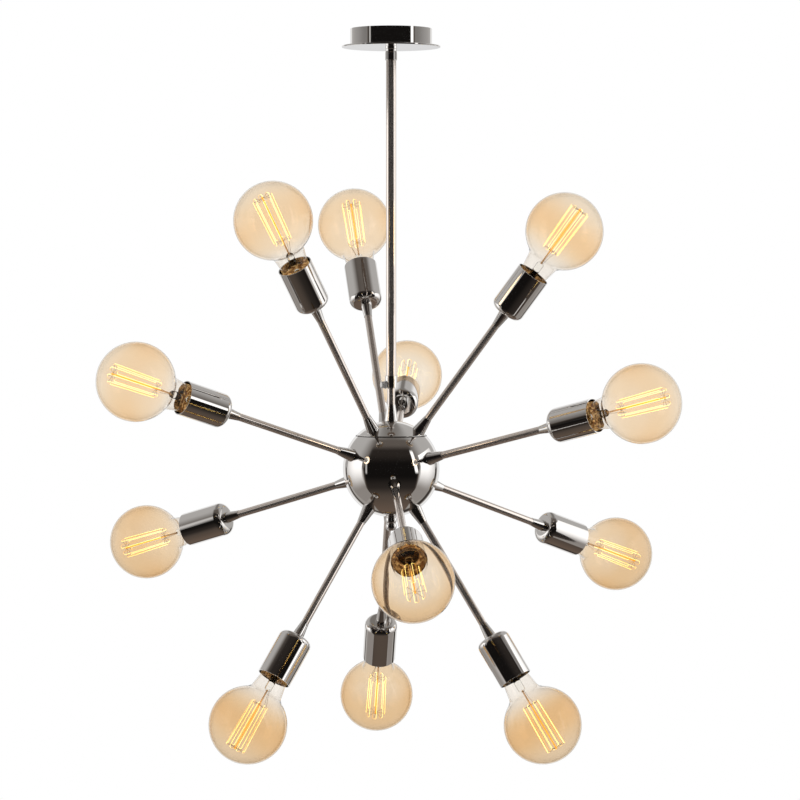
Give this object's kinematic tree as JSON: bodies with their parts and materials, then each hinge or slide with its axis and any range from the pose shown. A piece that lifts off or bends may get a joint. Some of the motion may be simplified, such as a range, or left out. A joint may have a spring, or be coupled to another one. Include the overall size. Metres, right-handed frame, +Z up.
{
  "type": "sputnik chandelier",
  "caption": "Sputnik chandelier: a polished ball on a telescoping stem under a round canopy, with straight arms that radiate to cylindrical socket cups and amber globe bulbs.",
  "frame": {"origin": "on the stem's axis in the ceiling plane, at the centre of the crossbar's two slots", "axes": "+Z up along the stem, -Y to the front of the pictured view, +X to the viewer's right"},
  "size_m": [0.7067, 0.803, 0.9028],
  "materials": {
    "chrome": "polished",
    "zinc_steel": "zinc plated",
    "brown_phenolic": "moulded",
    "brass": "rolled",
    "cable_sheath": "smooth",
    "amber_glass": "clear, amber tinted",
    "filament": "glowing wire on a clear glass rod"
  },
  "bodies": {
    "root": {"ceiling_crossbar": "zinc_steel", "canopy_nipple": "zinc_steel", "canopy_fasteners": "zinc_steel", "stem_tube": "chrome", "stem_coupling": "chrome"},
    "canopy": {"canopy_drum": "chrome", "canopy_disc": "chrome", "stem_collar": "chrome"},
    "thumb_screw": {"thumb_screw": "chrome"},
    "height_rod": {"height_rod": "chrome", "supply_cable": "cable_sheath"},
    "hub": {"neck_cone": "chrome", "centre_pipe": "zinc_steel", "ball_nuts": "zinc_steel", "ball_cap": "chrome", "ball_body": "chrome", "bottom_finial": "chrome", "ball_cones": "chrome", "arm_tubes": "chrome", "socket_cones": "chrome", "socket_cups": "chrome", "lampholder_bodies": "brown_phenolic", "lampholder_contacts": "brass", "arm_wiring": "cable_sheath"},
    "bulb_01": {"bulb_globe_01": "amber_glass", "bulb_cap_01": "brass", "bulb_filament_01": "filament"},
    "bulb_02": {"bulb_globe_02": "amber_glass", "bulb_cap_02": "brass", "bulb_filament_02": "filament"},
    "bulb_03": {"bulb_globe_03": "amber_glass", "bulb_cap_03": "brass", "bulb_filament_03": "filament"},
    "bulb_04": {"bulb_globe_04": "amber_glass", "bulb_cap_04": "brass", "bulb_filament_04": "filament"},
    "bulb_05": {"bulb_globe_05": "amber_glass", "bulb_cap_05": "brass", "bulb_filament_05": "filament"},
    "bulb_06": {"bulb_globe_06": "amber_glass", "bulb_cap_06": "brass", "bulb_filament_06": "filament"},
    "bulb_07": {"bulb_globe_07": "amber_glass", "bulb_cap_07": "brass", "bulb_filament_07": "filament"},
    "bulb_08": {"bulb_globe_08": "amber_glass", "bulb_cap_08": "brass", "bulb_filament_08": "filament"},
    "bulb_09": {"bulb_globe_09": "amber_glass", "bulb_cap_09": "brass", "bulb_filament_09": "filament"},
    "bulb_10": {"bulb_globe_10": "amber_glass", "bulb_cap_10": "brass", "bulb_filament_10": "filament"},
    "bulb_11": {"bulb_globe_11": "amber_glass", "bulb_cap_11": "brass", "bulb_filament_11": "filament"},
    "bulb_12": {"bulb_globe_12": "amber_glass", "bulb_cap_12": "brass", "bulb_filament_12": "filament"}
  },
  "joints": [
    {"name": "canopy_slide", "type": "slide", "parent": "root", "child": "canopy", "axis": [0, 0, -1], "range_m": [0, 0.385]},
    {"name": "height_slide", "type": "slide", "parent": "root", "child": "height_rod", "axis": [0, 0, -1], "range_m": [0, 0.3]},
    {"name": "hub_turn", "type": "hinge", "parent": "height_rod", "child": "hub", "pos_m": [0, 0, -0.545], "axis": [0, 0, 1], "range_deg": [-175, 175]},
    {"name": "thumb_screw_release", "type": "slide", "parent": "root", "child": "thumb_screw", "axis": [-0.9397, -0.342, 0], "range_m": [0, 0.003]},
    {"name": "bulb_01_unscrew", "type": "slide", "parent": "hub", "child": "bulb_01", "axis": [0.5683, -0.2182, 0.7934], "range_m": [0, 0.06]},
    {"name": "bulb_02_unscrew", "type": "slide", "parent": "hub", "child": "bulb_02", "axis": [-0.1305, 0.5437, 0.829], "range_m": [0, 0.06]},
    {"name": "bulb_03_unscrew", "type": "slide", "parent": "hub", "child": "bulb_03", "axis": [-0.379, -0.4209, 0.8241], "range_m": [0, 0.06]},
    {"name": "bulb_04_unscrew", "type": "slide", "parent": "hub", "child": "bulb_04", "axis": [0.7948, -0.5565, 0.2419], "range_m": [0, 0.06]},
    {"name": "bulb_05_unscrew", "type": "slide", "parent": "hub", "child": "bulb_05", "axis": [0.0585, 0.957, 0.284], "range_m": [0, 0.06]},
    {"name": "bulb_06_unscrew", "type": "slide", "parent": "hub", "child": "bulb_06", "axis": [-0.8152, -0.4898, 0.309], "range_m": [0, 0.06]},
    {"name": "bulb_07_unscrew", "type": "slide", "parent": "hub", "child": "bulb_07", "axis": [0.0669, -0.9565, -0.284], "range_m": [0, 0.06]},
    {"name": "bulb_08_unscrew", "type": "slide", "parent": "hub", "child": "bulb_08", "axis": [0.795, 0.5065, -0.3338], "range_m": [0, 0.06]},
    {"name": "bulb_09_unscrew", "type": "slide", "parent": "hub", "child": "bulb_09", "axis": [-0.8581, 0.4278, -0.284], "range_m": [0, 0.06]},
    {"name": "bulb_10_unscrew", "type": "slide", "parent": "hub", "child": "bulb_10", "axis": [0.4982, -0.2539, -0.829], "range_m": [0, 0.06]},
    {"name": "bulb_11_unscrew", "type": "slide", "parent": "hub", "child": "bulb_11", "axis": [-0.0522, 0.5421, -0.8387], "range_m": [0, 0.06]},
    {"name": "bulb_12_unscrew", "type": "slide", "parent": "hub", "child": "bulb_12", "axis": [-0.4668, -0.3454, -0.8141], "range_m": [0, 0.06]}
  ]
}
